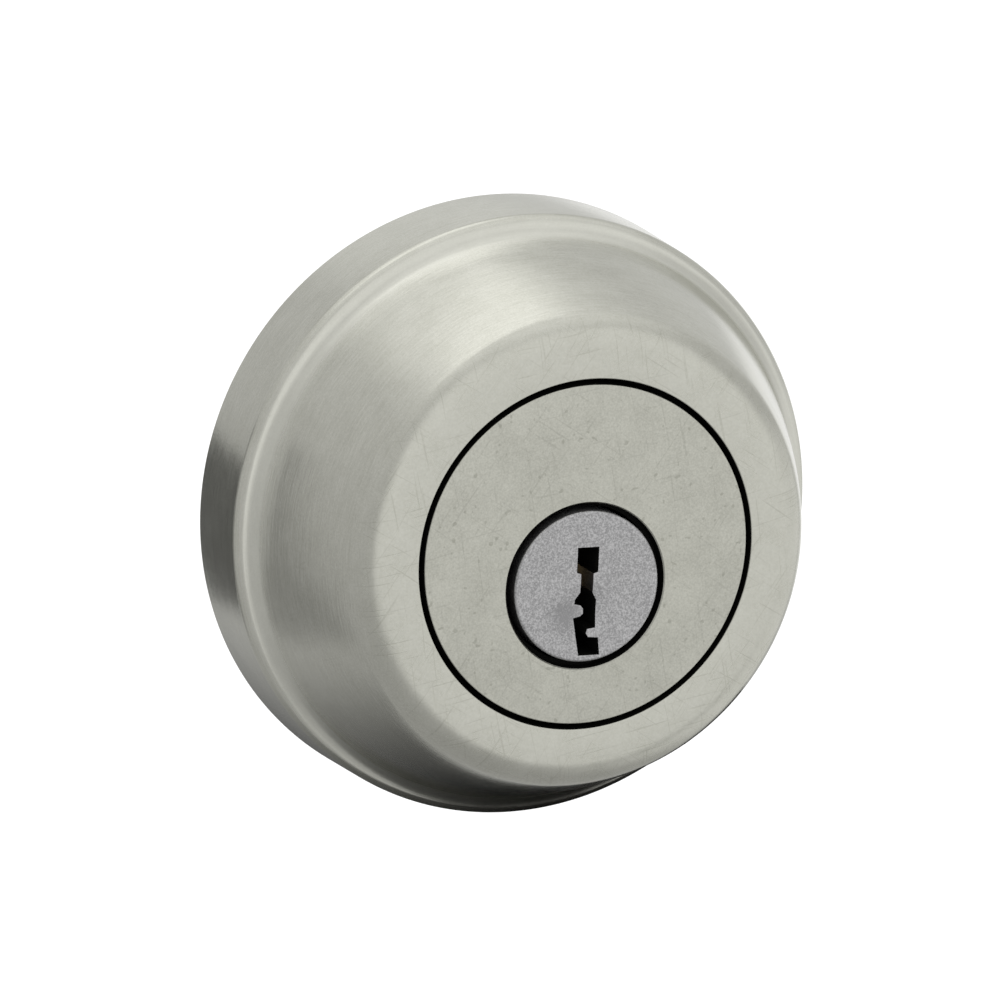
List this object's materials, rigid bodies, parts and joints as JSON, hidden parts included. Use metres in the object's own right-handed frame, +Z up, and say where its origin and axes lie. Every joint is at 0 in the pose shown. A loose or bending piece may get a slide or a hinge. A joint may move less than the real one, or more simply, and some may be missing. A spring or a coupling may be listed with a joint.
{
  "type": "deadbolt door lock",
  "caption": "Outside keyed half of a single-cylinder deadbolt: tapered free-turning collar, pin tumbler cylinder, seat plate, threaded posts and torque blade.",
  "frame": {"origin": "centre of the 54 mm door bore, on the door's outside face", "axes": "+Y into the door, the lock's front faces -Y; +Z up; +X to the right seen from outside"},
  "size_m": [0.0666, 0.0721, 0.0666],
  "materials": {
    "satin_nickel": "satin nickel plate, brushed round the taper",
    "plug_metal": "blasted grey nickel plate on brass",
    "hard_steel": "hardened steel, plain",
    "zinc_plated_steel": "bright zinc plate",
    "brass": "turned brass",
    "spring_steel": "drawn spring wire"
  },
  "bodies": {
    "housing": {"cylinder_body": "satin_nickel", "guard_cup": "hard_steel", "seat_plate": "zinc_plated_steel", "mounting_post_left": "zinc_plated_steel", "mounting_post_right": "zinc_plated_steel", "chamber_cover": "brass", "drill_pin_left": "hard_steel", "drill_pin_right": "hard_steel", "pin_spring_1": "spring_steel", "pin_spring_2": "spring_steel", "pin_spring_3": "spring_steel", "pin_spring_4": "spring_steel", "pin_spring_5": "spring_steel"},
    "collar": {"tapered_collar": "satin_nickel"},
    "keyed_plug": {"plug": "plug_metal", "plug_clip": "spring_steel", "blade_washer": "zinc_plated_steel"},
    "blade": {"torque_blade": "zinc_plated_steel"},
    "bottom_pin_1_body": {"bottom_pin_1": "brass"},
    "bottom_pin_2_body": {"bottom_pin_2": "brass"},
    "bottom_pin_3_body": {"bottom_pin_3": "brass"},
    "bottom_pin_4_body": {"bottom_pin_4": "brass"},
    "bottom_pin_5_body": {"bottom_pin_5": "brass"},
    "driver_pin_1_body": {"driver_pin_1": "brass"},
    "driver_pin_2_body": {"driver_pin_2": "brass"},
    "driver_pin_3_body": {"driver_pin_3": "brass"},
    "driver_pin_4_body": {"driver_pin_4": "brass"},
    "driver_pin_5_body": {"driver_pin_5": "brass"}
  },
  "joints": [
    {"name": "collar_spin", "type": "hinge", "parent": "housing", "child": "collar", "pos_m": [0, -0.01, 0], "axis": [0, 1, 0], "continuous": true},
    {"name": "plug_turn", "type": "hinge", "parent": "housing", "child": "keyed_plug", "pos_m": [0, -0.01, -0.0033], "axis": [0, 1, 0], "range_deg": [-90, 90]},
    {"name": "blade_play", "type": "hinge", "parent": "keyed_plug", "child": "blade", "pos_m": [0, 0, -0.0033], "axis": [0, 1, 0], "range_deg": [0, 90]},
    {"name": "bottom_pin_lift_1", "type": "slide", "parent": "keyed_plug", "child": "bottom_pin_1_body", "axis": [0, 0, 1], "range_m": [0, 0.00275]},
    {"name": "bottom_pin_lift_2", "type": "slide", "parent": "keyed_plug", "child": "bottom_pin_2_body", "axis": [0, 0, 1], "range_m": [0, 0.00395]},
    {"name": "bottom_pin_lift_3", "type": "slide", "parent": "keyed_plug", "child": "bottom_pin_3_body", "axis": [0, 0, 1], "range_m": [0, 0.00215]},
    {"name": "bottom_pin_lift_4", "type": "slide", "parent": "keyed_plug", "child": "bottom_pin_4_body", "axis": [0, 0, 1], "range_m": [0, 0.00335]},
    {"name": "bottom_pin_lift_5", "type": "slide", "parent": "keyed_plug", "child": "bottom_pin_5_body", "axis": [0, 0, 1], "range_m": [0, 0.00175]},
    {"name": "driver_pin_lift_1", "type": "slide", "parent": "housing", "child": "driver_pin_1_body", "axis": [0, 0, 1], "range_m": [0, 0.0028], "stiffness_N_per_m": 150, "springref_m": -0.002, "deforming": ["pin_spring_1"]},
    {"name": "driver_pin_lift_2", "type": "slide", "parent": "housing", "child": "driver_pin_2_body", "axis": [0, 0, 1], "range_m": [0, 0.0028], "stiffness_N_per_m": 150, "springref_m": -0.002, "deforming": ["pin_spring_2"]},
    {"name": "driver_pin_lift_3", "type": "slide", "parent": "housing", "child": "driver_pin_3_body", "axis": [0, 0, 1], "range_m": [0, 0.0028], "stiffness_N_per_m": 150, "springref_m": -0.002, "deforming": ["pin_spring_3"]},
    {"name": "driver_pin_lift_4", "type": "slide", "parent": "housing", "child": "driver_pin_4_body", "axis": [0, 0, 1], "range_m": [0, 0.0028], "stiffness_N_per_m": 150, "springref_m": -0.002, "deforming": ["pin_spring_4"]},
    {"name": "driver_pin_lift_5", "type": "slide", "parent": "housing", "child": "driver_pin_5_body", "axis": [0, 0, 1], "range_m": [0, 0.0028], "stiffness_N_per_m": 150, "springref_m": -0.002, "deforming": ["pin_spring_5"]}
  ]
}
